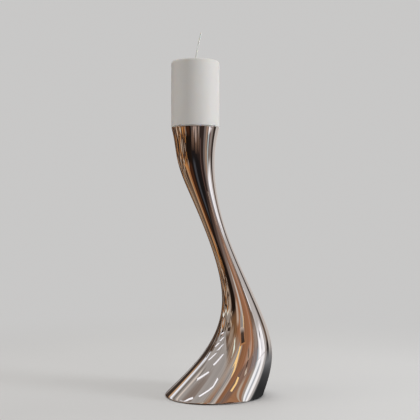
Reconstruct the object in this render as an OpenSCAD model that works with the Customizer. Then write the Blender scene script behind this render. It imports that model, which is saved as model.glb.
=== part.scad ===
// Candlestick: a hollow polished-metal stand that sweeps up from a flared foot in an S curve to a round
// top, where a pillar candle stands on a spike. Units are millimetres. The stand rests on z = 0, the
// candle's axis is x = 0, y = 0, and the foot swings out towards +X. Both halves mirror about y = 0.

/* [Stand] */
// Height of the stand from the table to the rim under the candle
stand_height = 387.5; // [360:0.5:480]
// Wall of the hollow stand, measured square to its surface
wall = 2; // [1.5:0.1:3]
// How far the body swings out sideways from the candle's axis
sway = 68; // [40:1:85]
// Radius of the rounded edge of the rim
rim_round = 1.2; // [0.5:0.1:2]

/* [Foot] */
// Width of the foot on the table, side to side
foot_width = 143; // [130:1:165]
// Depth of the foot on the table, front to back
foot_depth = 125; // [108:1:145]
// Distance of the foot's centre from the candle's axis
foot_shift = 26.2; // [14:0.2:34]
// How much fuller the foot is at the toe than at the heel, 0 for an ellipse
foot_egg = 0.08; // [0:0.01:0.12]
// Width of the body where the heel bulges out most
heel_width = 103.5; // [94:0.5:114]
// Height of the heel's bulge
heel_height = 56; // [50:1:62]
// Width of the body above the heel
calf_width = 72.5; // [64:0.5:82]
// Height of the place above the heel
calf_height = 98; // [90:1:106]

/* [Stem] */
// Width of the body at the inner bend over the foot
bend_width = 49; // [44:0.5:56]
// Height of the inner bend
bend_height = 138; // [130:1:146]
// Width of the stem a little above the bend
ankle_width = 34; // [31:0.5:40]
// Height of that place
ankle_height = 185; // [176:1:194]
// Width of the stem where it is slimmest
stem_width = 30; // [26:0.5:34]
// Height of the slimmest place
stem_height = 235; // [225:1:245]
// Width of the stem where it starts to open towards the rim
throat_width = 39; // [34:0.5:44]
// Distance of the throat below the rim
throat_drop = 98; // [90:1:106]
// Width of the body below the rim
neck_width = 54; // [49:0.5:58]
// Distance of the neck below the rim
neck_drop = 48; // [42:1:56]
// Width of the body just under the rim
collar_width = 64; // [62:0.5:68]
// Distance of the collar below the rim
collar_drop = 13; // [12:1:18]

/* [Candle] */
// Diameter of the candle, and of the rim that it stands on
candle_d = 70; // [68:1:76]
// Height of the candle without its wick
candle_height = 95; // [70:0.5:150]
// Radius of the candle's rounded top edge
candle_round = 2.5; // [1:0.5:6]
// Diameter of the wick
wick_d = 2.4; // [1.6:0.1:3]
// Height of the wick's tip above the candle
wick_rise = 43; // [10:1:50]
// How far the wick's tip leans sideways
wick_lean = 8.5; // [0:0.5:15]
// Depth of the wick inside the candle
wick_depth = 54; // [30:1:58]

/* [Spike] */
// Height of the spike above the plate
spike_height = 32; // [20:1:36]
// Diameter of the spike at its root
spike_d = 5; // [4:0.1:6]
// Diameter of the spike's blunt tip
spike_tip_d = 1; // [0.6:0.1:1.4]
// Diameter of the spike's threaded stub
stub_d = 6; // [5:0.5:8]
// Diameter of the spike's flange
flange_d = 13; // [11:0.5:16]
// Thickness of the spike's flange
flange_t = 1.5; // [1:0.1:2]
// Diameter of the plate that carries the candle
plate_d = 60; // [54:0.5:61]
// Thickness of that plate
plate_t = 4; // [3.5:0.1:6]
// Width of the ledge under the plate's edge
ledge_width = 5; // [3:0.5:8]
// Width of the nut across its flats
nut_flats = 10; // [9.5:0.5:13]
// Height of the nut
nut_height = 5; // [4:0.5:7]
// Outer diameter of the washer
washer_d = 16; // [13:0.5:20]
// Thickness of the washer
washer_t = 1.2; // [0.8:0.1:2]

/* [Base] */
// Gap between the stand's edge and the table
edge_gap = 1; // [0.6:0.1:1.4]
// Thickness of the soft pad under the base
pad_t = 1.8; // [1.6:0.1:3]
// Margin between the pad and the inside of the stand
pad_margin = 1.5; // [0.5:0.1:4]
// Thickness of the plate that closes the base
base_plate_t = 2.5; // [2:0.1:4]
// Height of the weight inside the foot, above the base plate
ballast_height = 46; // [30:1:60]
// Number of screws through the base plate
screw_count = 3; // [2:1:6]
// Radius of the circle that the screws lie on
screw_circle = 36; // [25:1:42]
// Diameter of the screws
screw_d = 4; // [3:0.5:5]
// Length of the screws
screw_length = 12; // [9:0.5:16]
// Diameter of the screws' countersunk heads
screw_head_d = 8; // [7:0.5:9.5]
// Outer diameter of the threaded inserts
insert_d = 7; // [6.5:0.5:9]
// Length of the threaded inserts
insert_length = 14; // [10:0.5:20]

/* [Fits] */
// Radial clearance of pieces that fit closely
fit = 0.1; // [0.05:0.01:0.15]
// Clearance round pieces that lie loosely
slack = 0.3; // [0.2:0.05:0.5]

/* [Hidden] */

round_fn = 72;           // facets of a preview circle
ring_points = 56;        // points round one section of the body
body_rings = 50;         // sections between the foot's edge and the rim
cavity_rings = 26;       // sections of the hollow inside
round_steps = 4;         // steps of a rounded edge
overshoot = 1;           // how far a cut runs past the surface it opens

base_plate_z = pad_t;
ballast_z = base_plate_z + base_plate_t;
plate_z = stand_height - plate_t;
flange_z = stand_height - flange_t;
cavity_top = plate_z - ledge_width;
stub_bottom = plate_z - washer_t - nut_height - 2;
wick_bottom = stand_height + candle_height - wick_depth;
candle_top = stand_height + candle_height;

// The body's sections from the table up: height, centre, half width, and half depth as a share of it
foot_share = foot_depth / foot_width;
stations = [
    [0, foot_shift, foot_width / 2, foot_share],
    [heel_height, 0.875 * sway, heel_width / 2, foot_share],
    [calf_height, sway, calf_width / 2, blend(foot_share, 1, 0.15)],
    [bend_height, 0.93 * sway, bend_width / 2, blend(foot_share, 1, 0.5)],
    [ankle_height, 0.72 * sway, ankle_width / 2, 0.97],
    [stem_height, 0.45 * sway, stem_width / 2, 0.95],
    [stand_height - throat_drop, 0.18 * sway, throat_width / 2, 0.97],
    [stand_height - neck_drop, 0.015 * sway, neck_width / 2, 0.99],
    [stand_height - collar_drop, 0, collar_width / 2, 1],
    [stand_height, 0, candle_d / 2, 1]
];
heights = column(0);
centres = column(1);
half_widths = column(2);
shares = column(3);
centre_bends = bends_of(centres);
width_bends = bends_of(half_widths);
share_bends = bends_of(shares);

function blend(a, b, t) = a + (b - a) * t;
function column(k) = [for (s = stations) s[k]];

// A natural cubic spline through the stations: the forward sweep, then the second derivatives
function spline_sweep(y, i = 1, rows = [[0, 0]]) =
    i == len(y) - 1 ? rows :
    let (
        below = heights[i] - heights[i - 1],
        above = heights[i + 1] - heights[i],
        pivot = 2 * (below + above) - below * rows[i - 1][0],
        turn = 6 * ((y[i + 1] - y[i]) / above - (y[i] - y[i - 1]) / below)
    )
    spline_sweep(y, i + 1, concat(rows, [[above / pivot, (turn - below * rows[i - 1][1]) / pivot]]));
function spline_back(rows, i, found = [0]) =
    i == 0 ? concat([0], found) :
    spline_back(rows, i - 1, concat([rows[i][1] - rows[i][0] * found[0]], found));
function bends_of(y) = spline_back(spline_sweep(y), len(y) - 2);

// The spline's value at height h
function spline(y, bends, h) =
    let (
        k = max([for (i = [0 : len(y) - 2]) if (i == 0 || heights[i] <= h) i]),
        span = heights[k + 1] - heights[k],
        up = (h - heights[k]) / span,
        down = 1 - up
    )
    down * y[k] + up * y[k + 1]
        + span * span / 6 * ((pow(down, 3) - down) * bends[k] + (pow(up, 3) - up) * bends[k + 1]);
function centre(h) = spline(centres, centre_bends, h);
function half_width(h) = spline(half_widths, width_bends, h);
function half_depth(h) = half_width(h) * spline(shares, share_bends, h);
function left(h) = centre(h) - half_width(h);
function right(h) = centre(h) + half_width(h);
function egg(h) = foot_egg * pow(max(0, 1 - h / bend_height), 2);

// How much longer than its depth a wall is when cut level, for a side that moves by step per mm of height
function slant(step) = sqrt(1 + step * step);
function left_inset(h, t) = t * slant(left(h + 0.5) - left(h - 0.5));
function right_inset(h, t) = t * slant(right(h + 0.5) - right(h - 0.5));
function depth_inset(h, t) = t * slant(half_depth(h + 0.5) - half_depth(h - 0.5));

// One level section of the body, t inside its surface
function section(h, t = 0) =
    let (
        x0 = left(h) + left_inset(h, t),
        x1 = right(h) - right_inset(h, t),
        half_y = half_depth(h) - depth_inset(h, t)
    )
    [
        for (i = [0 : ring_points - 1])
            let (a = 360 * i / ring_points)
            [(x0 + x1) / 2 + (x1 - x0) / 2 * cos(a), half_y * sin(a) * (1 - egg(h) * cos(a)), h]
    ];

// A solid through a stack of level sections with equal numbers of points, lowest first
module loft(rings) {
    n = len(rings[0]);
    top = (len(rings) - 1) * n;
    sides = [
        for (k = [0 : len(rings) - 2], i = [0 : n - 1])
            [k * n + i, (k + 1) * n + i, (k + 1) * n + (i + 1) % n, k * n + (i + 1) % n]
    ];
    polyhedron(
        points = [for (ring = rings) each ring],
        faces = concat([[for (i = [0 : n - 1]) i]], sides, [[for (i = [n - 1 : -1 : 0]) top + i]]),
        convexity = 6
    );
}

// The outside of the stand, with its foot's edge and its rim rounded
function outer_rings() =
    let (
        low = edge_gap + rim_round,
        high = stand_height - rim_round
    )
    concat(
        [
            for (k = [0 : round_steps - 1])
                let (a = 90 * k / round_steps)
                section(low - rim_round * cos(a), rim_round * (1 - sin(a)))
        ],
        [for (k = [0 : body_rings]) section(blend(low, high, k / body_rings))],
        [
            for (k = [1 : round_steps])
                let (a = 90 * k / round_steps)
                section(high + rim_round * sin(a), rim_round * (1 - cos(a)))
        ]
    );

// The hollow inside the stand from height low to height high, grown inwards by t
function cavity_rings_between(low, high, t, count) =
    [for (k = [0 : count]) section(blend(low, high, k / count), wall + t)];

module stand_shell() {
    color("silver")
        difference() {
            loft(outer_rings());
            loft(cavity_rings_between(edge_gap - overshoot / 2, cavity_top, 0, cavity_rings));
            translate([0, 0, plate_z])
                cylinder(d = plate_d + 2 * fit, h = plate_t + overshoot, $fn = round_fn);
            translate([0, 0, cavity_top - overshoot])
                cylinder(d = plate_d - 2 * ledge_width, h = stand_height - cavity_top, $fn = round_fn);
        }
}

module candle_plate() {
    bore = stub_d / 2 + fit;
    sink = flange_d / 2 + fit;
    color("gainsboro")
        translate([0, 0, plate_z])
            rotate_extrude($fn = round_fn)
                polygon([
                    [bore, 0], [plate_d / 2, 0], [plate_d / 2, plate_t], [sink, plate_t],
                    [sink, plate_t - flange_t], [bore, plate_t - flange_t]
                ]);
}

module candle_spike() {
    color("silver")
        rotate_extrude($fn = round_fn)
            polygon([
                [0, stub_bottom], [stub_d / 2 - 0.5, stub_bottom], [stub_d / 2, stub_bottom + 0.5],
                [stub_d / 2, flange_z], [flange_d / 2, flange_z], [flange_d / 2, stand_height],
                [spike_d / 2, stand_height],
                [spike_tip_d / 2, stand_height + spike_height - spike_tip_d / 2],
                [0, stand_height + spike_height]
            ]);
}

// A flat ring standing on z = 0
module ring(outer_d, inner_d, h, sides = round_fn) {
    difference() {
        cylinder(d = outer_d, h = h, $fn = sides);
        translate([0, 0, -overshoot])
            cylinder(d = inner_d, h = h + 2 * overshoot, $fn = round_fn);
    }
}

module spike_washer() {
    color("darkgray")
        translate([0, 0, plate_z - washer_t])
            ring(washer_d, stub_d + 2 * slack, washer_t);
}

module spike_nut() {
    color("gray")
        translate([0, 0, plate_z - washer_t - nut_height])
            ring(nut_flats / cos(30), stub_d + 2 * fit, nut_height, 6);
}

// Places what it is given at each screw of the base
module at_screws() {
    for (k = [0 : screw_count - 1])
        translate([foot_shift, 0, 0])
            rotate(360 * k / screw_count)
                translate([screw_circle, 0, 0])
                    rotate(-360 * k / screw_count)
                        children();
}

// The weight is poured into the foot, so it follows the hollow with a little slack
module ballast() {
    color("dimgray")
        difference() {
            loft(cavity_rings_between(ballast_z, ballast_z + ballast_height, slack, 8));
            at_screws()
                translate([0, 0, ballast_z - overshoot])
                    cylinder(d = insert_d + 2 * fit, h = insert_length + overshoot + fit, $fn = round_fn);
        }
}

module screw_inserts() {
    color("goldenrod")
        at_screws()
            translate([0, 0, ballast_z])
                ring(insert_d, screw_d + 2 * fit, insert_length);
}

module base_plate() {
    color("gray")
        difference() {
            loft(cavity_rings_between(base_plate_z, ballast_z, slack, 1));
            at_screws() {
                translate([0, 0, base_plate_z - overshoot])
                    cylinder(d = screw_d + 2 * slack, h = base_plate_t + 2 * overshoot, $fn = round_fn);
                translate([0, 0, base_plate_z])
                    head_cone(fit);
            }
        }
}

// A countersunk head, its flat face on z = 0, grown by t
module head_cone(t) {
    height = (screw_head_d - screw_d) / 2;
    cylinder(d1 = screw_head_d + 2 * t, d2 = screw_d + 2 * t, h = height, $fn = round_fn);
}

module base_screws() {
    color("darkgray")
        at_screws()
            translate([0, 0, base_plate_z]) {
                head_cone(0);
                cylinder(d = screw_d, h = screw_length, $fn = round_fn);
            }
}

module base_pad() {
    outline = [for (p = section(base_plate_z, wall + pad_margin)) [p.x, p.y]];
    color([0.12, 0.12, 0.12])
        linear_extrude(pad_t)
            polygon(outline);
}

module candle_wax() {
    r = candle_d / 2;
    foot_round = 0.8;
    bore = wick_d / 2 + fit;
    color("ivory")
        translate([0, 0, stand_height])
            rotate_extrude($fn = 2 * round_fn)
                polygon(concat(
                    [[spike_d / 2 + slack, 0], [r - foot_round, 0], [r, foot_round]],
                    [
                        for (k = [0 : 2 * round_steps])
                            let (a = 90 * k / (2 * round_steps))
                            [
                                r - candle_round * (1 - cos(a)),
                                candle_height - candle_round * (1 - sin(a))
                            ]
                    ],
                    [
                        [bore, candle_height],
                        [bore, spike_height + slack],
                        [spike_tip_d / 2 + slack, spike_height + slack]
                    ]
                ));
}

// The wick stands straight in the wax and then leans over in a slight curve
function wick_point(t) = [wick_lean * pow(t, 1.2), 0, candle_top + wick_rise * t];

module wick() {
    steps = 10;
    sides = 10;
    path = concat([[0, 0, wick_bottom]], [for (k = [0 : steps]) wick_point(k / steps)]);
    color("wheat")
        loft([
            for (p = path)
                [
                    for (i = [0 : sides - 1])
                        p + wick_d / 2 * [cos(360 * i / sides), sin(360 * i / sides), 0]
                ]
        ]);
}

stand_shell();
candle_plate();
candle_spike();
spike_washer();
spike_nut();
ballast();
screw_inserts();
base_plate();
base_screws();
base_pad();
candle_wax();
wick();
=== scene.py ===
import math

import bpy
import numpy as np
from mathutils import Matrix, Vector
from mathutils.bvhtree import BVHTree

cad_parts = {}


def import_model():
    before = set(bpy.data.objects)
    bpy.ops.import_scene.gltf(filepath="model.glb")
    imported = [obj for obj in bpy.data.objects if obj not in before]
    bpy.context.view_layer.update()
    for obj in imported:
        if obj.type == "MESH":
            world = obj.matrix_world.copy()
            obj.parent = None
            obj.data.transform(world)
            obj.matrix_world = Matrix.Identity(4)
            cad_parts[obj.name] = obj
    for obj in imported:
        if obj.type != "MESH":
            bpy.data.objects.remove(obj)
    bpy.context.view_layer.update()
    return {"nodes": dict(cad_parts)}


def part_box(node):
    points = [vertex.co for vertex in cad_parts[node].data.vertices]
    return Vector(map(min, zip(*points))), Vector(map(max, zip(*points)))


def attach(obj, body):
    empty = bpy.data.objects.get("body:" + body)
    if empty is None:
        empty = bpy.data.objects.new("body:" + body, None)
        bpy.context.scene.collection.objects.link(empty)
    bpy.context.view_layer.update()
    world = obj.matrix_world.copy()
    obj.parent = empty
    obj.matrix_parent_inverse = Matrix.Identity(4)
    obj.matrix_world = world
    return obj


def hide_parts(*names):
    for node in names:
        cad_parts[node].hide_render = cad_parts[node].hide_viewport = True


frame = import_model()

# The candlestick of the frame, dressed: a smooth mirror skin over the faceted shell, the wax and the
# plaited wick of its candle, and the felt pad under its foot. Round it are a plain studio and, for
# polished metal alone, a painted room to mirror. Units are metres.

MM = 0.001
RING_POINTS = 224        # points round one ring of the skin
SKIN_RINGS = 240         # rings of the skin between its rounded edges
HOLLOW_RINGS = 60        # rings of its hollow
EDGE_STEPS = 8           # rings in a rounded edge


# ---------------------------------------------------------------- the form of the CAD shell

LEAST_POINTS = 48        # a whole section of the CAD shell has at least so many points
EDGE_SPACING = 2 * MM    # the sections of a rounded edge lie closer together than this


def full_turn(count=RING_POINTS):
    """Angles once round, evenly spaced."""
    return np.linspace(0, 2 * math.pi, count, endpoint=False)


def shell_levels():
    """The points of the CAD shell by height, doubles removed."""
    shell = frame["nodes"]["stand_shell"]
    levels = {}
    for vertex in shell.data.vertices:
        point = shell.matrix_world @ vertex.co
        levels.setdefault(round(point.z, 5), set()).add(tuple(round(c, 6) for c in point))
    return {height: np.array(sorted(points)) for height, points in levels.items()}


def is_outside(tree, points):
    """True for a level whose points lie on the outer surface: nothing lies further out."""
    back = Vector(points[np.argmax(points[:, 1])])
    return tree.ray_cast(back + Vector((0, 0.1 * MM, 0)), Vector((0, 1, 0)))[0] is None


def measure(points):
    """Centre, half width, half depth and egg shape of one level section."""
    low, high = points[:, 0].min(), points[:, 0].max()
    centre, half_width = (low + high) / 2, (high - low) / 2
    cosine = np.clip((points[:, 0] - centre) / half_width, -1, 1)
    inner = np.abs(cosine) < 0.95
    depth = np.abs(points[inner, 1]) / np.sqrt(1 - cosine[inner] ** 2)
    slope, half_depth = np.polyfit(cosine[inner], depth, 1)
    return centre, half_width, half_depth, -slope / half_depth


class Curve:
    """A natural cubic spline through values at given heights."""

    def __init__(self, heights, values):
        self.x, self.y = np.array(heights), np.array(values)
        step = np.diff(self.x)
        size = len(self.x)
        system = np.eye(size)
        turn = np.zeros(size)
        for i in range(1, size - 1):
            system[i, i - 1 : i + 2] = step[i - 1], 2 * (step[i - 1] + step[i]), step[i]
            turn[i] = 6 * ((self.y[i + 1] - self.y[i]) / step[i] - (self.y[i] - self.y[i - 1]) / step[i - 1])
        self.bend = np.linalg.solve(system, turn)

    def __call__(self, height):
        k = int(np.clip(np.searchsorted(self.x, height) - 1, 0, len(self.x) - 2))
        span = self.x[k + 1] - self.x[k]
        up = (height - self.x[k]) / span
        down = 1 - up
        return (
            down * self.y[k] + up * self.y[k + 1]
            + span**2 / 6 * ((down**3 - down) * self.bend[k] + (up**3 - up) * self.bend[k + 1])
        )

    def slope(self, height):
        return (self(height + MM / 2) - self(height - MM / 2)) / MM


class Body:
    """The body's outer form, read from the level sections of the CAD shell."""

    def __init__(self):
        shell = frame["nodes"]["stand_shell"]
        graph = bpy.context.evaluated_depsgraph_get()
        tree = BVHTree.FromObject(shell, graph)
        levels = shell_levels()
        heights = sorted(h for h, points in levels.items() if len(points) >= LEAST_POINTS)
        outer = [h for h in heights if is_outside(tree, levels[h])]
        self.low, self.high = outer[0], outer[-1]
        # the sections of the rounded edges are left out
        plain = [h for a, h, b in zip(outer, outer[1:], outer[2:]) if max(h - a, b - h) > EDGE_SPACING]
        rows = [measure(levels[h]) for h in plain]
        self.foot, self.rim = plain[0], plain[-1]
        self.centre, self.half_width, self.half_depth, self.egg = (Curve(plain, c) for c in zip(*rows))
        # the wall, from a section of the hollow in the middle of the body
        inner = [h for h in heights if h not in outer and plain[4] < h < plain[-4]]
        middle = inner[len(inner) // 2]
        gap = self.half_depth(middle) - measure(levels[middle])[2]
        self.wall = gap / math.hypot(1, self.half_depth.slope(middle))

    def left(self, height):
        return self.centre(height) - self.half_width(height)

    def right(self, height):
        return self.centre(height) + self.half_width(height)

    def section(self, height, inset=0.0):
        """One level section, inset measured square to the surface."""
        tilt = (self.half_width.slope(height) - self.centre.slope(height),
                self.half_width.slope(height) + self.centre.slope(height))
        left = self.left(height) + inset * math.hypot(1, tilt[0])
        right = self.right(height) - inset * math.hypot(1, tilt[1])
        deep = self.half_depth(height) - inset * math.hypot(1, self.half_depth.slope(height))
        turn = full_turn()
        return np.stack([
            (left + right) / 2 + (right - left) / 2 * np.cos(turn),
            deep * np.sin(turn) * (1 - self.egg(height) * np.cos(turn)),
            np.full(RING_POINTS, height),
        ], axis=1)


# ---------------------------------------------------------------- mesh helpers

def circle(radius, height):
    turn = full_turn()
    return np.stack([radius * np.cos(turn), radius * np.sin(turn), np.full(RING_POINTS, height)], axis=1)


def new_object(name, points, faces, sharp_angle=40):
    mesh = bpy.data.meshes.new(name)
    mesh.from_pydata([tuple(p) for p in points], [], faces)
    mesh.validate()
    mesh.shade_smooth()
    mesh.set_sharp_from_angle(angle=math.radians(sharp_angle))
    piece = bpy.data.objects.new(name, mesh)
    bpy.context.scene.collection.objects.link(piece)
    return piece


def ring_faces(count, rings, loop, first=0):
    """Quads between neighbouring rings, and from the last to the first in a loop."""
    pairs = [(k, k + 1) for k in range(rings - 1)] + ([(rings - 1, 0)] if loop else [])
    return [
        (first + a * count + i, first + a * count + (i + 1) % count,
         first + b * count + (i + 1) % count, first + b * count + i)
        for a, b in pairs for i in range(count)
    ]


def loft(name, rings, loop=False, sharp_angle=40):
    """A mesh through rings of equal counts, closed on itself or capped at both ends."""
    count = len(rings[0])
    faces = ring_faces(count, len(rings), loop)
    if not loop:
        last = (len(rings) - 1) * count
        faces += [tuple(range(count - 1, -1, -1)), tuple(last + i for i in range(count))]
    return new_object(name, np.concatenate(rings), faces, sharp_angle)


def tube_rings(path, radii, sides):
    """Rings round a path that runs mostly upwards."""
    path = np.array(path)
    ahead = np.gradient(path, axis=0)
    ahead /= np.linalg.norm(ahead, axis=1)[:, None]
    side = np.cross(np.array([0.0, 1.0, 0.0]), ahead)
    side /= np.linalg.norm(side, axis=1)[:, None]
    other = np.cross(ahead, side)
    turn = full_turn(sides)
    return [
        p + r * (np.cos(turn)[:, None] * s + np.sin(turn)[:, None] * o)
        for p, r, s, o in zip(path, radii, side, other)
    ]


# ---------------------------------------------------------------- materials

class Nodes:
    """A short way to write a procedural material."""

    def __init__(self, name):
        self.material = bpy.data.materials.new(name)
        self.material.use_nodes = True
        self.tree = self.material.node_tree
        self.shader = self.tree.nodes["Principled BSDF"]

    def add(self, kind, **values):
        node = self.tree.nodes.new("ShaderNode" + kind)
        for key, value in values.items():
            if hasattr(node, key):
                setattr(node, key, value)
            else:
                node.inputs[key.replace("_", " ")].default_value = value
        return node

    def link(self, out, into):
        self.tree.links.new(out, into)

    def place(self, scale):
        """Object coordinates, stretched."""
        coords = self.add("TexCoord")
        mapping = self.add("Mapping")
        mapping.inputs["Scale"].default_value = scale
        self.link(coords.outputs["Object"], mapping.inputs["Vector"])
        return mapping.outputs["Vector"]

    def noise(self, scale, detail=2.0, stretch=(1, 1, 1), rough=0.5):
        node = self.add("TexNoise", Scale=scale, Detail=detail, Roughness=rough)
        self.link(self.place(stretch), node.inputs["Vector"])
        return node.outputs["Fac"]

    def base_colour(self, value, dark, pale):
        """The base colour, which turns from dark to pale over the middle of the value's range."""
        node = self.add("ValToRGB")
        for element, at, colour in zip(node.color_ramp.elements, (0.3, 0.7), (dark, pale)):
            element.position = at
            element.color = (*colour, 1)
        self.link(value, node.inputs["Fac"])
        self.into(node.outputs["Color"], "Base Color")

    def range(self, value, low, high):
        node = self.add("MapRange")
        node.inputs["To Min"].default_value = low
        node.inputs["To Max"].default_value = high
        self.link(value, node.inputs["Value"])
        return node.outputs["Result"]

    def bump(self, value, strength, distance, under=None):
        node = self.add("Bump", Strength=strength, Distance=distance)
        self.link(value, node.inputs["Height"])
        if under is not None:
            self.link(under, node.inputs["Normal"])
        return node.outputs["Normal"]

    def into(self, out, socket):
        self.link(out, self.shader.inputs[socket])

    def set(self, **values):
        for key, value in values.items():
            self.shader.inputs[key.replace("_", " ")].default_value = value


def mirror_steel():
    """Polished stainless steel: a faint waviness, wiping marks and hairline scratches."""
    m = Nodes("mirror_steel")
    m.set(Metallic=1.0)
    m.base_colour(m.noise(9, 3), (0.80, 0.79, 0.775), (0.86, 0.855, 0.845))
    m.into(m.range(m.noise(38, 5, (1, 1, 0.35), 0.6), 0.008, 0.035), "Roughness")
    waves = m.bump(m.noise(26, 1, (1, 1, 0.3)), 0.035, 1.0 * MM)
    scratches = m.bump(m.noise(900, 2, (1, 1, 0.06)), 0.02, 0.1 * MM, waves)
    m.into(scratches, "Normal")
    return m.material


def plain_steel():
    """Turned steel: fine rings round the axis."""
    m = Nodes("plain_steel")
    m.set(Metallic=1.0)
    m.base_colour(m.noise(60, 3), (0.42, 0.42, 0.43), (0.58, 0.58, 0.58))
    m.into(m.range(m.noise(300, 4), 0.22, 0.42), "Roughness")
    m.into(m.bump(m.noise(2500, 2, (0.2, 0.2, 1)), 0.15, 0.1 * MM), "Normal")
    return m.material


def brass():
    m = Nodes("brass")
    m.set(Metallic=1.0)
    m.base_colour(m.noise(120, 3), (0.62, 0.42, 0.16), (0.80, 0.60, 0.28))
    m.into(m.range(m.noise(400, 3), 0.2, 0.4), "Roughness")
    return m.material


def cement():
    m = Nodes("cement")
    m.base_colour(m.noise(90, 8), (0.25, 0.24, 0.23), (0.42, 0.41, 0.39))
    m.set(Roughness=0.95)
    m.into(m.bump(m.noise(700, 6), 0.6, 0.5 * MM), "Normal")
    return m.material


def felt():
    """Black pressed felt: matted fibres with a soft sheen."""
    m = Nodes("felt")
    m.base_colour(m.noise(1500, 6, (1, 0.4, 1)), (0.010, 0.010, 0.011), (0.035, 0.034, 0.034))
    m.set(Roughness=0.95, Sheen_Weight=0.4)
    m.into(m.bump(m.noise(2200, 5, (0.4, 1, 1)), 0.7, 0.3 * MM), "Normal")
    return m.material


def wax():
    """White paraffin wax: translucent, softly mottled, with a faint skin from its mould."""
    m = Nodes("wax")
    m.base_colour(m.noise(22, 3, (1, 1, 0.5)), (0.765, 0.755, 0.735), (0.80, 0.792, 0.775))
    m.set(Subsurface_Weight=0.35, Subsurface_Scale=6 * MM, Subsurface_Radius=(1.0, 0.75, 0.55))
    m.set(Specular_IOR_Level=0.7)
    m.into(m.range(m.noise(60, 3), 0.34, 0.42), "Roughness")
    soft = m.bump(m.noise(24, 1, (1, 1, 0.5)), 0.03, 0.5 * MM)
    m.into(m.bump(m.noise(700, 2), 0.015, 0.1 * MM, soft), "Normal")
    return m.material


def cotton():
    """Waxed cotton yarn, its fibres running along the plait."""
    m = Nodes("cotton")
    m.base_colour(m.noise(3000, 4, (1, 1, 0.2)), (0.84, 0.83, 0.80), (0.93, 0.925, 0.91))
    m.set(Roughness=0.7, Subsurface_Weight=0.1, Subsurface_Scale=1 * MM)
    m.into(m.bump(m.noise(4500, 3, (1, 1, 0.2)), 0.25, 0.1 * MM), "Normal")
    return m.material


def dress(piece, material):
    piece.data.materials.clear()
    piece.data.materials.append(material)


# ---------------------------------------------------------------- the stand

PLATE_GAP = 0.1 * MM     # room round the plate in its seat


def stand_skin(body):
    """The polished shell: outside, rim, seat of the plate, hollow and foot edge, one closed mesh."""
    edge = body.foot - body.low
    arc = np.linspace(0, math.pi / 2, EDGE_STEPS)
    plate_low, plate_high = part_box("candle_plate")
    seat = plate_high[0] + PLATE_GAP
    bench = shell_levels()[round(plate_low[2], 5)]
    ledge = np.hypot(bench[:, 0], bench[:, 1]).min()
    hollow_top = plate_low[2] - (seat - ledge)
    rings = [body.section(body.foot - edge * math.cos(a), edge * (1 - math.sin(a))) for a in arc[:-1]]
    rings += [body.section(h) for h in np.linspace(body.foot, body.rim, SKIN_RINGS)]
    top = body.high
    reach = top - body.rim
    rings += [body.section(body.rim + reach * math.sin(a), reach * (1 - math.cos(a))) for a in arc[1:]]
    rings += [circle(seat, top), circle(seat, plate_low[2]), circle(ledge, plate_low[2])]
    rings += [circle(ledge, hollow_top)]
    rings += [body.section(h, body.wall) for h in np.linspace(hollow_top, body.low, HOLLOW_RINGS)]
    piece = loft("polished_shell", rings, loop=True, sharp_angle=50)
    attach(piece, "stand")
    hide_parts("stand_shell")
    dress(piece, mirror_steel())


FACE_RINGS = 24          # rings across the face of the felt
FUZZ = 0.03 * MM         # how uneven that face is


def felt_pad(body):
    """The felt under the foot, its cut edge slightly rounded and its face uneven."""
    low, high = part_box("base_pad")
    thick = high[2] - low[2]
    outline = body.section(high[2], body.wall)
    middle = outline.mean(axis=0)
    margin = outline[:, 0].max() - high[0]
    edge = 0.35 * thick

    def ring(height, inset):
        scale = 1 - (margin + inset) / (outline[:, 0].max() - middle[0])
        flat = middle + (outline - middle) * scale
        flat[:, 2] = low[2] + height
        return flat

    # the face in rings from its middle out, then the rounded side
    rng = np.random.default_rng(5)
    rings = []
    for share in np.linspace(0.04, 1, FACE_RINGS):
        face = middle + (ring(0.0, edge) - middle) * share
        face[:, 2] = low[2] + np.abs(rng.normal(0, FUZZ, RING_POINTS)) * (share < 0.97)
        rings.append(face)
    side = ((0.3 * edge, 0.3 * edge), (edge, 0.0), (thick - edge, 0.0), (thick, 0.6 * edge))
    rings += [ring(height, inset) for height, inset in side]
    piece = loft("felt_pad", rings, sharp_angle=60)
    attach(piece, "stand")
    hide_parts("base_pad")
    dress(piece, felt())


# ---------------------------------------------------------------- the candle

BORE_GAP = 0.1 * MM      # room round the wick
SPIKE_GAP = 0.3 * MM     # room over the tip of the spike
SIDE_RINGS, TOP_RINGS = 60, 40
CHIPS = 48               # places round the foot edge that are chipped, each to its own depth
CHIP_DEPTH = 1.7 * MM
CHIP_REACH = 3 * MM      # how far up the side a chip reaches
SWELL = 0.1 * MM         # size of the waves in the cast side


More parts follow.
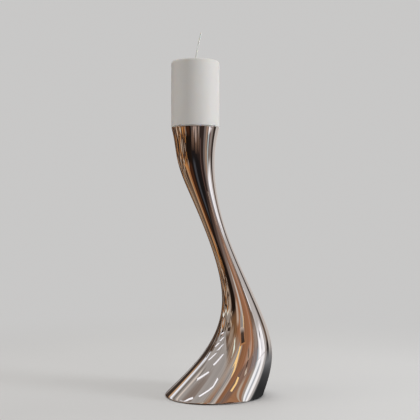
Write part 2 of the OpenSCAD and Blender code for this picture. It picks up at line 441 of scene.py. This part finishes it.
def candle_body():
    """The wax: a cast cylinder with a soft top edge, a shallow dish and the hole of the spike."""
    low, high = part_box("candle_wax")
    radius = high[0]
    bore = -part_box("wick")[0][0] + BORE_GAP
    hole_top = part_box("candle_spike")[1][2] + SPIKE_GAP
    root, tip = 2.8 * MM, 0.8 * MM      # radii of the spike's hole at its ends
    edge, foot = 3.2 * MM, 0.8 * MM     # radii of the top and foot edges
    dish = 0.7 * MM
    arc = np.linspace(0, math.pi / 2, EDGE_STEPS + 4)
    profile = [(root, low[2]), (radius - 3 * foot, low[2])]
    profile += [(radius - foot * (1 - math.sin(a)), low[2] + foot * (1 - math.cos(a))) for a in arc]
    profile += [(radius, h) for h in np.linspace(low[2] + 2 * foot, high[2] - edge - foot, SIDE_RINGS)]
    profile += [(radius - edge * (1 - math.cos(a)), high[2] - edge * (1 - math.sin(a))) for a in arc]
    inside = radius - edge
    # a shallow dish, its wax climbing a little at the wick
    for r in np.linspace(inside, bore, TOP_RINGS)[1:]:
        sink = dish * math.sin(math.pi / 2 * (1 - r / inside)) ** 1.5
        climb = 0.75 * dish * math.exp(-((r - bore) / (1.1 * MM)))
        profile.append((r, high[2] - sink + climb))
    profile += [(bore, hole_top), (tip, hole_top)]
    rings = [circle(r, h) for r, h in profile]
    # the foot edge is chipped here and there
    turn = full_turn()
    depths = np.random.default_rng(17).uniform(0, 1, CHIPS) ** 1.5
    at = turn / (2 * math.pi) * CHIPS
    chips = CHIP_DEPTH * np.interp(at, np.arange(CHIPS + 1), np.append(depths, depths[0]))
    for ring in rings:
        rise = ring[0, 2] - low[2]
        if rise < CHIP_REACH and np.hypot(ring[:, 0], ring[:, 1])[0] > radius - 2 * foot:
            ring[:, 2] += chips * (1 - rise / CHIP_REACH) ** 2
    # the cast surface isn't quite true, and is taken in a little so that it stays inside its box
    for ring in rings:
        share = np.hypot(ring[:, 0], ring[:, 1])[0] / radius
        height = (ring[0, 2] - low[2]) / (high[2] - low[2])
        waves = np.sin(2 * turn + 3 * height) + 0.6 * np.sin(5 * turn - 4 * height)
        swell = (SWELL * waves - 1.6 * SWELL) * share**4
        ring[:, 0] += swell * np.cos(turn)
        ring[:, 1] += swell * np.sin(turn)
    piece = loft("candle_body", rings, loop=True, sharp_angle=50)
    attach(piece, "candle")
    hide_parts("candle_wax")
    dress(piece, wax())


PLAIT_PITCH = 6.5 * MM   # length of one turn of the plait
YARN = 0.68              # a yarn's radius, as a share of the plait's half width
YARN_STEPS = 420         # rings along a yarn
PLAIT_END = 0.6 * MM     # how far below the wick's top the plait ends
TAPERED = 6              # rings of a yarn over which its end tapers
FRAYED_FIBRES = 26       # loose ends at the tip
FIBRES_BEGIN = 1.2 * MM  # how far below the wick's top they begin


def wick_braid():
    """Three yarns plaited flat, straight in the wax, leaning over above it and frayed at the tip."""
    low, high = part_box("wick")
    wax_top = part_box("candle_wax")[1][2]
    half = -low[0]
    lean, rise = high[0] - half, high[2] - wax_top
    yarn = YARN * half
    points, faces = [], []
    heights = np.linspace(low[2], high[2] - PLAIT_END, YARN_STEPS)

    def spine(height):
        t = np.clip((height - wax_top) / rise, 0, None)
        return np.stack([lean * t**1.2, np.zeros_like(height), height], axis=-1)

    def add(rings):
        first = len(points)
        count = len(rings[0])
        faces.extend(ring_faces(count, len(rings), False, first))
        last = first + (len(rings) - 1) * count
        faces.append(tuple(first + i for i in range(count - 1, -1, -1)))
        faces.append(tuple(last + i for i in range(count)))
        points.extend(p for ring in rings for p in ring)

    for k in range(3):
        phase = 2 * math.pi * (heights - low[2]) / PLAIT_PITCH + 2 * math.pi * k / 3
        path = spine(heights)
        path[:, 0] += (half - yarn) * np.sin(phase)
        path[:, 1] += 0.55 * (half - yarn) * np.sin(2 * phase)
        radii = np.full(YARN_STEPS, yarn)
        radii[-TAPERED:] *= np.linspace(1, 0.55, TAPERED)
        add(tube_rings(path, radii, 12))
    rng = np.random.default_rng(11)
    tip = spine(np.array([high[2] - FIBRES_BEGIN]))[0]
    ahead = spine(np.array([high[2]]))[0] - spine(np.array([high[2] - MM]))[0]
    ahead /= np.linalg.norm(ahead)
    for _ in range(FRAYED_FIBRES):
        start = tip + np.array([*rng.normal(0, 0.35 * half, 2), 0])
        spread = np.array([*rng.normal(0, 0.22, 2), 0])
        length = rng.uniform(0.8, 1.15) * MM
        path = [start + (ahead + spread * t) * length * t for t in np.linspace(0, 1, 5)]
        add(tube_rings(path, np.linspace(0.07, 0.04, 5) * MM, 5))
    piece = new_object("wick_braid", points, faces, 60)
    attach(piece, "candle")
    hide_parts("wick")
    dress(piece, cotton())


def hidden_metal():
    """Finishes of the CAD pieces that stay."""
    steel = plain_steel()
    for node in ("candle_plate", "candle_spike", "spike_washer", "spike_nut", "base_plate", "base_screws"):
        dress(frame["nodes"][node], steel)
    dress(frame["nodes"]["screw_inserts"], brass())
    dress(frame["nodes"]["ballast"], cement())


# ---------------------------------------------------------------- the room that the metal mirrors

# Polished steel shows its surroundings, so a far dome carries a painted room, and only glossy rays see
# it. Azimuth 0 is towards the camera, 90 to the right of it and -90 to the left. All angles are degrees,
# and a tone is the screen colour, 0 to 255, that the steel shows where it mirrors that place.
DOME_RADIUS, STRIP_RADIUS = 30.0, 28.0
STRIP_STEP = 0.5 * MM    # a strip lies nearer than those before it, by this much for each of their points
DOME_COLUMNS = 720
STEEPEST = 89            # the dome's rows lie a degree apart, from this far down to this far up
STEEL = 0.84             # the share of the light that the steel gives back
TOP, LOW = 34, -90       # where walls end at the ceiling, and straight down
UNPAINTED = (40, 28, 22)     # the dome's tone where nothing else is painted
STREAKS = 200            # knots of its upright lines, all round
STREAK_DEPTH = 0.22
WHITE, GOLD = (246, 243, 248), (246, 204, 140)

# name, azimuth from and to, elevation from and to, tone, softness of the edges
ROOM = [
    ("ceiling", (-180, 180), (33, 90), (150, 143, 138), 3),
    ("walls", (-180, 180), (-4, 33), (92, 72, 58), 3),
    ("rear window", (172, 198), (0, 24), (214, 212, 214), 3),
    ("rear window post", (184, 187), (0, 24), (96, 84, 76), 1.5),
    ("rear door", (204, 214), (LOW, 22), (150, 120, 92), 2),
    # left of the camera
    ("left corner", (-160, -130), (0, 20), (58, 48, 42), 3),
    ("left wall", (-130, -56), (-3, 24), (150, 139, 130), 3),
    ("left post", (-96, -88), (-2, 12), (112, 98, 86), 2),
    ("left curtain", (-122, -106), (6, 17), (196, 186, 176), 3),
    ("low cupboard", (-82, -62), (-3, 5), (90, 76, 66), 3),
    ("picture rail", (-66, -54), (12, 19), (86, 68, 56), 3),
    ("left table", (-150, -52), (-40, -3), (92, 72, 58), 3),
    ("low chairs", (-128, -76), (-15, -4), (102, 76, 56), 2),
    ("under the chairs", (-76, -51), (-15, -3), (66, 44, 30), 2),
    ("left floor", (-185, -136), (-15, -3), (48, 34, 24), 2),
    ("left carpet", (-185, -142), (-40, -13), (80, 58, 42), 2),
    ("pale cloth", (-142, -96), (-40, -16), (126, 104, 86), 2),
    ("white cloth", (-123, -109), (-40, -15), (166, 144, 122), 2),
    ("bright board", (-75, -64), (-40, -16), (172, 142, 112), 2),
    ("orange board", (-66, -53), (-40, -15), (150, 100, 62), 2),
    ("copper tray", (-92, -66), (-19, -15), (190, 136, 88), 1.5),
    ("dark furniture", (-52, -23), (LOW, 13), (28, 20, 15), 3),
    ("brown board", (-52, -30), (-40, -16), (62, 35, 21), 2),
    ("furniture top", (-52, -5), (14, 28), (112, 80, 54), 3),
    ("shelf", (-52, -38), (21, 31), (150, 130, 114), 3),
    # towards the camera
    ("front wall", (-23, 20), (8, TOP), (142, 98, 70), 3),
    ("front chairs", (-23, 20), (-1, 9), (118, 102, 94), 3),
    ("front shade", (-23, 20), (-9, 0), (74, 58, 52), 3),
    ("front table", (-23, 22), (LOW, -9), (26, 23, 23), 2),
    ("blue reflection", (-17, -5), (-30, -13), (62, 62, 66), 2),
    ("front picture", (-3, 8), (8, 21), (192, 182, 174), 2),
    ("pale chair", (-26, -15), (10, 20), (178, 156, 140), 2),
    ("wall head", (-40, 2), (26, 34), (140, 116, 98), 2),
    # right of the camera
    ("right wall", (20, 48), (11, TOP), (150, 102, 74), 3),
    ("right chairs", (20, 48), (0, 12), (122, 96, 84), 3),
    ("right shade", (22, 48), (LOW, -3), (44, 34, 31), 2),
    ("chair leg", (28, 31), (-14, 2), (96, 72, 66), 1),
    ("right picture", (25, 38), (12.5, 19), (166, 132, 114), 1.5),
    ("right door", (44, 52), (14, TOP), (124, 92, 72), 3),
    ("window frame", (48, 61), (10, TOP), (150, 132, 122), 3),
    ("window sill", (46, 61), (-2, 12), (136, 122, 120), 3),
    ("under the sill", (47, 57), (LOW, -2), (114, 102, 98), 3),
    ("net curtain", (62, 98), (-1, TOP), (186, 180, 178), 2),
    ("window", (65, 91), (0.5, 17), (248, 244, 248), 2),
    ("curtain edge", (79.5, 81), (4, 12), (180, 176, 182), 1),
    ("blue pane", (60, 63), (-1, 10), (158, 170, 180), 1.5),
    ("curtain gap", (74.5, 76.5), (6, 12), (196, 198, 204), 1),
    ("window beam", (71, 78), (13, 16.5), (140, 136, 136), 1.5),
    ("wall by the window", (96, 106), (0, TOP), (160, 152, 150), 3),
    # the stem's top mirrors the wall below the window
    ("warm wall", (58, 71), (LOW, -1), (158, 132, 115), 1.5),
    ("cool wall", (73, 80), (LOW, -1), (174, 182, 184), 1.2),
    ("shaded wall", (82, 104), (LOW, -1), (124, 110, 104), 1.5),
    ("red line", (68, 71), (-15, -6), (96, 84, 82), 1),
    ("purple line", (84, 88), (-14, -6), (118, 88, 90), 1),
    ("pale post", (92, 96), (LOW, -4), (142, 136, 130), 1),
    ("dark post", (104, 119), (-10, 4), (48, 42, 39), 1.5),
    ("bright shelf", (73, 95), (-18, -13), (240, 230, 230), 0.8),
    ("post head", (103, 120), (13, 23), (64, 58, 54), 3),
    ("dark frame", (47, 62), (20.5, TOP), (108, 85, 70), 1.5),
    ("wall lamp", (120, 124), (-16, 6), (96, 84, 80), 1.5),
    ("far curtain", (122, 172), (LOW, TOP), (188, 179, 174), 3),
]

# what is painted over the left ceiling, in the same columns
CEILING = [
    ("ceiling end", (-9, 0), (18, 24), (146, 136, 130), 1),
    ("left skylight", (-146, -118), (23, 28), (232, 232, 238), 2),
    ("skylight frame", (-145, -138), (19, 22), (206, 164, 126), 1.5),
    ("dark ceiling", (-100, -58), (42, 50), (126, 112, 104), 2),
    ("bright joint", (-117, -105), (35.5, 37.5), (214, 200, 190), 1),
    ("dark joint", (-136, -112), (30, 33), (104, 94, 86), 2),
    ("lower joint", (-103, -96), (37.5, 39), (110, 100, 92), 1),
]

# bright and dark lines of the room: the points that each passes through, its width and its tone
LINES = [
    ([(-27, 27), (-23, 29.2), (-18, 30.2)], 1.8, (224, 228, 214)),
    ([(-3, 26.3), (0, 25.7), (4, 23.2), (8, 19.4)], 1.2, GOLD),
    ([(34, 12), (35, 24)], 1.6, (172, 146, 128)),
    ([(40.5, 12), (41.5, 24)], 1.2, (118, 86, 66)),
    ([(45, 10), (46, 20)], 1.2, (170, 146, 132)),
    ([(28, 19), (33, 13)], 1.8, (110, 92, 80)),
    ([(33, 12), (34, 8)], 2.0, (60, 48, 42)),
    ([(36, 6), (38, 3), (40, 0), (41, -3)], 2.2, (196, 178, 162)),
    ([(-126, 1), (-112, 5), (-98, 3)], 2.0, (226, 220, 208)),
    ([(-92, 3), (-82, 8), (-72, 6)], 2.0, (214, 206, 192)),
    ([(-106, -2), (-92, 1), (-84, 5)], 1.4, (48, 38, 32)),
    ([(-62, 9), (-56, 12), (-50, 10)], 1.4, (170, 150, 130)),
    ([(-106, -7), (-102, -10)], 4.0, (186, 160, 138)),
]

# The polished table at the foot's right, which mirrors the walls and windows in its turn, and which the
# foot mirrors. What it shows, the azimuth where that begins round a pole at the foot, and its tone.
TABLE_POLE = 0.06, -0.045
TABLE = [
    ("wooden wall", -10, (148, 106, 78)),
    ("pale post", 38, (172, 154, 138)),
    ("wooden door", 44, (144, 104, 80)),
    ("beige wall", 54, (158, 146, 136)),
    ("window", 63, (243, 243, 246)),
    ("window post", 72, (168, 170, 176)),
    ("second window", 79, (242, 238, 238)),
    ("wall by the window", 89, (170, 164, 162)),
    ("cool wall", 98, (112, 112, 114)),
    ("far curtain", 155, (168, 160, 152)),
]
TABLE_REACHES = 0.012, 0.03, 0.07, 0.14, 0.3     # how far from the pole its rings lie
TABLE_END = 0.8          # its far edge, where it meets a low rail
TABLE_Z, RAIL_Z = 0.5 * MM, 0.06
TABLE_SOFT = 4           # over how many degrees one sector turns into the next
GRAIN = 0.09             # how uneven the table's tones are
# the foot's own dark mirror image and shade on the table, painted into its tones: how dark, the azimuths
# over which it sets in, and the reaches over which it fades out
DARK = 0.85
DARK_FROM, DARK_FULL = 94, 104
DARK_NEAR, DARK_END = 0.08, 0.3


def light_of(tone):
    """The light that makes the steel show a tone."""
    share = np.array(tone) / 255
    return np.where(share <= 0.04045, share / 12.92, ((share + 0.055) / 1.055) ** 2.4) / STEEL


def smooth(x):
    x = np.clip(x, 0, 1)
    return x * x * (3 - 2 * x)


def direction(azimuth, elevation):
    a, e = np.radians(azimuth), np.radians(elevation)
    return np.stack([np.sin(a) * np.cos(e), -np.cos(a) * np.cos(e), np.sin(e)], axis=-1)


def overhead(u, v):
    """The angles of a point on a ceiling one unit up, u to the right and v away from the camera."""
    return math.degrees(math.atan2(u, -v)), math.degrees(math.atan2(1, math.hypot(u, v)))


class Dome:
    """A sphere of directions, painted in layers."""

    def __init__(self):
        self.rows = 2 * STEEPEST + 1
        across = np.arange(DOME_COLUMNS) * 360 / DOME_COLUMNS
        azimuth, elevation = np.meshgrid(across, np.linspace(-STEEPEST, STEEPEST, self.rows))
        self.azimuth, self.elevation = azimuth.ravel(), elevation.ravel()
        self.ways = direction(self.azimuth, self.elevation)
        self.light = np.tile(light_of(UNPAINTED), (len(self.ways), 1))

    def cover(self, share, tone):
        share = share[:, None]
        self.light = self.light * (1 - share) + light_of(tone) * share

    def patch(self, azimuth, elevation, tone, soft):
        middle, half = sum(azimuth) / 2, (azimuth[1] - azimuth[0]) / 2
        beside = np.abs((self.azimuth - middle + 180) % 360 - 180) - half
        above = np.maximum(elevation[0] - self.elevation, self.elevation - elevation[1])
        self.cover(smooth(0.5 - beside / (2 * soft)) * smooth(0.5 - above / (2 * soft)), tone)

    def left_ceiling(self):
        """A pale ceiling to the left: its near edge is a curved beam, and it ends in the distance.

        u runs to the right and v away from the camera, on a ceiling one unit up.
        """
        rise = np.clip(self.ways[:, 2], 0.02, None)
        u, v = self.ways[:, 0] / rise, self.ways[:, 1] / rise
        beam = -0.13 - 1.53 / np.clip(0.6 - u, 0.1, None)
        inside = smooth((v - beam) / 0.08 + 0.5) * smooth((0.2 - u) / 0.2 + 0.5)
        inside *= smooth((u + 3.8) / 0.8) * (self.ways[:, 2] > 0.02)
        self.cover(inside * smooth((1.55 - v) / 0.4 + 0.5), (152, 145, 141))
        self.cover(inside * smooth(1.2 - np.abs(v - beam) / 0.06) * 0.6, (176, 166, 158))

    def streaks(self):
        """Upright and leaning lines, as legs, frames and folds draw them, weaker on the ceiling."""
        rng = np.random.default_rng(3)
        knots = np.arange(STREAKS + 1) * 360 / STREAKS - 180
        share = 0.3 + 0.7 * smooth((36 - self.elevation) / 6)
        for slant in (0.0, 0.18):
            values = rng.uniform(-1, 1, STREAKS)
            values = np.append(values, values[0])
            at = (self.azimuth + slant * self.elevation + 180) % 360 - 180
            self.light *= 1 + (STREAK_DEPTH * share * np.interp(at, knots, values))[:, None]

    def level(self, azimuths, elevation):
        """The light along one elevation."""
        light = self.light.reshape(self.rows, DOME_COLUMNS, 3)[elevation + STEEPEST]
        return light[(np.array(azimuths) * DOME_COLUMNS / 360).astype(int) % DOME_COLUMNS]

    def build(self):
        last = (self.rows - 1) * DOME_COLUMNS
        faces = ring_faces(DOME_COLUMNS, self.rows, False)
        faces += [tuple(range(DOME_COLUMNS)), tuple(last + i for i in range(DOME_COLUMNS))]
        glowing_mesh("room_dome", self.ways * DOME_RADIUS, faces, self.light)


def glowing_mesh(name, points, faces, light):
    """A mesh that shines with the light of its points, for glossy rays only."""
    piece = new_object(name, points, faces)
    store = piece.data.attributes.new("light", "FLOAT_COLOR", "POINT")
    store.data.foreach_set("color", np.column_stack([light, np.ones(len(light))]).ravel())
    m = Nodes(name)
    m.tree.nodes.remove(m.shader)
    emission = m.add("Emission", Strength=1.0)
    m.link(m.add("Attribute", attribute_name="light").outputs["Color"], emission.inputs["Color"])
    m.link(emission.outputs["Emission"], m.tree.nodes["Material Output"].inputs["Surface"])
    m.material.cycles.emission_sampling = "NONE"
    dress(piece, m.material)
    piece.visible_camera = False
    piece.visible_diffuse = False
    piece.visible_shadow = False
    piece.visible_transmission = False
    piece.visible_volume_scatter = False


class Bands:
    """Glowing bands of flat quads."""

    def __init__(self):
        self.points, self.faces, self.light = [], [], []

    def band(self, pairs, tones):
        """A band through pairs of points, with a tone for each pair."""
        first = len(self.points)
        self.points += [point for pair in pairs for point in pair]
        self.light += [light_of(tone) for tone in tones for _ in range(2)]
        self.faces += [tuple(first + 2 * k + i for i in (0, 1, 3, 2)) for k in range(len(pairs) - 1)]

    def build(self, name):
        glowing_mesh(name, self.points, self.faces, np.array(self.light))


class Strips(Bands):
    """Bands before the dome: sharper than its painting."""

    def stretch(self, pairs, tone):
        """A band of one tone through pairs of directions."""
        radius = STRIP_RADIUS - STRIP_STEP * len(self.points)
        self.band([(low * radius, high * radius) for low, high in pairs], [tone] * len(pairs))

    def add(self, stops, width, tone):
        """A line of one width in degrees, through places given by azimuth and elevation."""
        path = np.array([direction(*stop) for stop in stops])
        side = np.cross(path, np.gradient(path, axis=0))
        side *= math.tan(math.radians(width / 2)) / np.linalg.norm(side, axis=1)[:, None]
        self.stretch(list(zip(path - side, path + side)), tone)

    def lamp(self, stops, slide, width):
        """A lamp on the ceiling. One long edge is slid along the other where metal shears its image."""
        path = np.array(stops)
        ahead = np.gradient(path, axis=0)
        ahead /= np.linalg.norm(ahead, axis=1)[:, None]
        side = slide * ahead + width * np.stack([-ahead[:, 1], ahead[:, 0]], axis=1)
        edges = zip(path - side / 2, path + side / 2)
        self.stretch([[direction(*overhead(*place)) for place in pair] for pair in edges], WHITE)


# where the lamps of the left ceiling's further rows begin, as in overhead
LEFT_LAMPS = [(-1.50, 0.42), (-1.60, -0.08), (-1.98, 0.62), (-2.09, 0.12), (-2.70, 0.42)]
LEFT_SLIDE = 0.16        # how far a lamp of the nearest row is sheared


def ceiling_lamps(strips):
    """Tube lamps in staggered rows along the ceiling."""
    strips.lamp([(-1.19, 0.20), (-1.09, -0.31)], LEFT_SLIDE, 0.03)
    strips.lamp([(-1.15, -0.37), (-1.15, -0.81)], LEFT_SLIDE, 0.07)
    # further rows to the left are sheared more, and drawn wider to show as well as the nearest
    for u, v in LEFT_LAMPS:
        strips.lamp([(u, v), (u - 0.03, v - 0.46)], LEFT_SLIDE * (u / -1.14) ** 1.3, 0.032 * u * u)
    # the right ceiling, in even rows
    for row in range(5):
        for place in range(4):
            u, v = 0.4 + 0.42 * row, -1.2 + 0.75 * place + 0.2 * (row % 2)
            strips.lamp([(u, v), (u, v + 0.5)], 0, 0.05 * math.hypot(1, u))


# how many strokes, between which azimuths and elevations
CLUTTER = [
    (75, (-142, -56), (-15, -5)),
    (12, (-142, -50), (-22, -15)),
    (34, (-150, -50), (-4, 6)),
    (30, (-128, -52), (6, 22)),
]
CLUTTER_TONES = [
    (182, 160, 140), (168, 114, 64), (88, 60, 42), (40, 26, 18), (122, 106, 94), (60, 42, 31)
]


def clutter(strips):
    """Chairs and things on the tables to the left: upright strokes of many tones."""
    rng = np.random.default_rng(3)
    for count, azimuths, elevations in CLUTTER:
        for _ in range(count):
            azimuth, elevation = rng.uniform(*azimuths), rng.uniform(*elevations)
            lean, rise = rng.uniform(-6, 6), rng.uniform(1, 4)
            tone = np.array(CLUTTER_TONES[rng.integers(len(CLUTTER_TONES))]) * rng.uniform(0.85, 1.1)
            stroke = [(azimuth, elevation), (azimuth + lean, elevation + rise)]
            strips.add(stroke, rng.uniform(4, 12), tone)


PAPERS_Y = -0.107        # the slips of paper stand here, before the neck
PAPERS_FROM, PAPERS_TO = -0.035, 0.034
PAPERS_FOOT = 0.343      # the least height from which a slip turns pale
PAPER = (156, 135, 125)


def neck_papers(cards):
    """Slips of paper close before the neck, which mirrors them between its dark stripes. They are glowing
    cards that only glossy rays see: a painted reflection.
    """
    rng = np.random.default_rng(21)
    x = PAPERS_FROM
    while x < PAPERS_TO:
        width = rng.uniform(5, 12) * MM
        low, sway = PAPERS_FOOT + rng.uniform(0, 8.0) * MM, rng.uniform(-6, 6) * MM
        pale = np.array(PAPER) * rng.uniform(0.45, 1.3)
        # height, sideways shift and tone, upwards
        rows = (
            (low - 12 * MM, sway, (48, 36, 30)),
            (low, sway, (104, 80, 66)),
            (low + 5 * MM, sway / 2, pale),
            (PAPERS_FOOT + 17 * MM, 0, pale),
            (PAPERS_FOOT + 24 * MM, 0, (70, 52, 42)),
        )
        pairs = [((x + shift, PAPERS_Y, z), (x + shift + width, PAPERS_Y, z)) for z, shift, _ in rows]
        cards.band(pairs, [tone for _, _, tone in rows])
        x += width


LOW_LAMPS = [            # the path of each lamp over the floor, and the way across it
    ([(-0.119, -0.065), (-0.100, -0.082), (-0.086, -0.100)], (0.001, -0.012)),
    ([(-0.065, -0.128), (-0.033, -0.150), (-0.019, -0.154), (-0.009, -0.133)], (0.005, -0.013)),
]
LOW_LAMP_Z = 0.10
CARD_Y = -0.12           # the framed card and the rod stand here, before the foot
# ends of the card at its foot, higher up and at its head, the upper two heights, and its tones upwards
CARD = [(0.067, 0.088), (0.057, 0.078), (0.054, 0.074)]
CARD_HEIGHTS = 0.132, 0.138
FRAME = [(166, 116, 78), (150, 108, 82), (176, 158, 146)]
PICTURE = [(58, 44, 36), (70, 56, 48), (186, 170, 160)]
ROD = [(0.093, 0.048), (0.091, 0.035), (0.081, 0.023)]     # its middle line


def things_by_the_foot(cards):
    """Two lamps low before the foot's left side; a framed card and a golden rod before its right side. All
    are glowing cards that only glossy rays see: painted reflections.
    """
    for path, (along, away) in LOW_LAMPS:
        sides = [[(x + s * along, y + s * away, LOW_LAMP_Z) for s in (-0.5, 0.5)] for x, y in path]
        cards.band(sides, [WHITE] * len(path))
    # the frame lies 1 mm further from the foot than the picture, and stands out round it
    for y, margin, low, tones in ((CARD_Y - 1 * MM, 7 * MM, 0.1162, FRAME), (CARD_Y, 0, 0.1185, PICTURE)):
        rows = zip(CARD, (low, *CARD_HEIGHTS))
        cards.band([((left - margin, y, z), (right + margin, y, z)) for (left, right), z in rows], tones)
    rise, run = 2.5 * MM, 4.5 * MM
    sides = [((x + run, CARD_Y, z - rise), (x - run, CARD_Y, z + rise)) for x, z in ROD]
    cards.band(sides, [GOLD] * len(ROD))


def near_table(dome):
    """The table near the foot, a glowing sheet that only glossy rays see: a painted reflection. At its far
    edge a low rail leads over to the light of the dome.
    """
    turns = np.arange(0, 186, 1.0)
    mirrored = np.tile(light_of(TABLE[0][2]), (len(turns), 1))
    for _, start, tone in TABLE[1:]:
        share = smooth((turns - start) / TABLE_SOFT + 0.5)[:, None]
        mirrored = mirrored * (1 - share) + light_of(tone) * share
    mirrored *= 1 + GRAIN * np.random.default_rng(9).uniform(-1, 1, len(turns))[:, None]
    # painted shade: the foot's dark mirror image darkens the table near it, fading with reach
    dark = DARK * smooth((turns - DARK_FROM) / (DARK_FULL - DARK_FROM))[:, None]
    fades = [smooth((DARK_END - reach) / (DARK_END - DARK_NEAR)) for reach in TABLE_REACHES]
    rows = [(reach, TABLE_Z, mirrored * (1 - dark * fade)) for reach, fade in zip(TABLE_REACHES, fades)]
    behind = dome.level(turns, 2)
    rows += [(TABLE_END, TABLE_Z, (rows[-1][2] + behind) / 2), (TABLE_END, RAIL_Z, behind)]
    ways = direction(turns, 0 * turns)
    points = [(TABLE_POLE[0] + reach * way[0], TABLE_POLE[1] + reach * way[1], z)
              for reach, z, _ in rows for way in ways]
    count = len(turns)
    faces = [(row + k, row + k + 1, row + count + k + 1, row + count + k)
             for row in range(0, (len(rows) - 1) * count, count) for k in range(count - 1)]
    glowing_mesh("near_table", points, faces, np.concatenate([light for _, _, light in rows]))


def mirrored_room():
    dome = Dome()
    for _, azimuth, elevation, tone, soft in ROOM:
        dome.patch(azimuth, elevation, tone, soft)
    dome.left_ceiling()
    for _, azimuth, elevation, tone, soft in CEILING:
        dome.patch(azimuth, elevation, tone, soft)
    dome.streaks()
    dome.build()
    strips = Strips()
    clutter(strips)
    for line in LINES:
        strips.add(*line)
    ceiling_lamps(strips)
    strips.build("room_lines")
    cards = Bands()
    neck_papers(cards)
    things_by_the_foot(cards)
    cards.build("near_cards")
    near_table(dome)


# ---------------------------------------------------------------- the studio

BACKDROP = (0.58, 0.575, 0.57)
SOFT_LIGHT, SOFT_STRENGTH = (1.0, 0.96, 0.92), 0.28    # what the world sheds
FLOOR_SIDE = 16.0
FADE_FROM, FADE_TO = 0.30, 0.95    # where the floor turns into the backdrop, from the middle
AIM = 0.03, 0, 0.3                 # where the lamps point
EYE = 0.0213, -1.150, 0.268        # where the camera stands


def stage_floor():
    """A plain pale floor that runs into the backdrop without a horizon. Glossy rays don't see it."""
    half = FLOOR_SIDE / 2
    corners = [(-half, -half, 0), (half, -half, 0), (half, half, 0), (-half, half, 0)]
    floor = new_object("floor", corners, [(0, 1, 2, 3)])
    m = Nodes("pale_floor")
    m.base_colour(m.noise(3, 2), (0.765, 0.77, 0.775), (0.785, 0.79, 0.795))
    m.set(Roughness=0.9, Specular_IOR_Level=0.0)
    flat = m.add("Emission", Color=(*BACKDROP, 1), Strength=1.0)
    distance = m.add("VectorMath", operation="LENGTH")
    m.link(m.add("NewGeometry").outputs["Position"], distance.inputs[0])
    fade = m.add("MapRange", interpolation_type="SMOOTHSTEP")
    fade.inputs["From Min"].default_value = FADE_FROM
    fade.inputs["From Max"].default_value = FADE_TO
    m.link(distance.outputs["Value"], fade.inputs["Value"])
    seen = m.add("Math", operation="MULTIPLY")
    m.link(fade.outputs["Result"], seen.inputs[0])
    m.link(m.add("LightPath").outputs["Is Camera Ray"], seen.inputs[1])
    mix = m.add("MixShader")
    m.link(seen.outputs[0], mix.inputs[0])
    m.link(m.shader.outputs[0], mix.inputs[1])
    m.link(flat.outputs[0], mix.inputs[2])
    m.link(mix.outputs[0], m.tree.nodes["Material Output"].inputs["Surface"])
    m.material.cycles.emission_sampling = "NONE"
    dress(floor, m.material)
    floor.visible_glossy = False


def lamp(name, azimuth, elevation, distance, size, power, colour):
    """A soft box turned to the middle of the part. The metal mirrors the dome and not the box."""
    middle = Vector(AIM)
    place = middle + Vector(direction(azimuth, elevation)) * distance
    data = bpy.data.lights.new(name, "AREA")
    data.shape = "RECTANGLE"
    data.size, data.size_y = size
    data.energy = power
    data.color = colour
    light = bpy.data.objects.new(name, data)
    light.location = place
    light.rotation_euler = (middle - place).to_track_quat("-Z", "Y").to_euler()
    light.visible_glossy = False
    light.visible_camera = False
    bpy.context.scene.collection.objects.link(light)


def world():
    """Plain to the eye, softer as a light. The dome lies before it for every glossy ray."""
    scene_world = bpy.data.worlds.new("studio")
    bpy.context.scene.world = scene_world
    scene_world.use_nodes = True
    tree = scene_world.node_tree
    shown = tree.nodes["Background"]
    shown.inputs["Color"].default_value = (*BACKDROP, 1)
    soft = tree.nodes.new("ShaderNodeBackground")
    soft.inputs["Color"].default_value = (*SOFT_LIGHT, 1)
    soft.inputs["Strength"].default_value = SOFT_STRENGTH
    path = tree.nodes.new("ShaderNodeLightPath")
    mix = tree.nodes.new("ShaderNodeMixShader")
    seen = path.outputs["Is Camera Ray"]
    for kind in ("Is Glossy Ray", "Is Transmission Ray"):
        either = tree.nodes.new("ShaderNodeMath")
        either.operation = "MAXIMUM"
        tree.links.new(seen, either.inputs[0])
        tree.links.new(path.outputs[kind], either.inputs[1])
        seen = either.outputs[0]
    tree.links.new(seen, mix.inputs["Fac"])
    tree.links.new(soft.outputs[0], mix.inputs[1])
    tree.links.new(shown.outputs[0], mix.inputs[2])
    tree.links.new(mix.outputs[0], tree.nodes["World Output"].inputs["Surface"])


def camera():
    """Level, and a little right of the candle's axis."""
    data = bpy.data.cameras.new("camera")
    data.sensor_width = 36
    data.lens = 68
    thing = bpy.data.objects.new("camera", data)
    thing.location = EYE
    thing.rotation_euler = (math.pi / 2, 0, 0)
    bpy.context.scene.collection.objects.link(thing)
    bpy.context.scene.camera = thing


def studio():
    stage_floor()
    mirrored_room()
    # azimuth, elevation, distance, width and height, power and colour
    lamp("window_light", 72, 4, 1.9, (0.5, 1.2), 22, (0.96, 0.98, 1.0))
    lamp("ceiling_light", 150, 80, 2.2, (2.2, 2.2), 30, (1.0, 0.99, 0.97))
    lamp("room_light", -80, -2, 2.0, (1.2, 1.2), 8, (1.0, 0.92, 0.85))
    world()
    camera()
    bpy.context.scene.view_settings.view_transform = "Standard"


body = Body()
stand_skin(body)
felt_pad(body)
candle_body()
wick_braid()
hidden_metal()
studio()
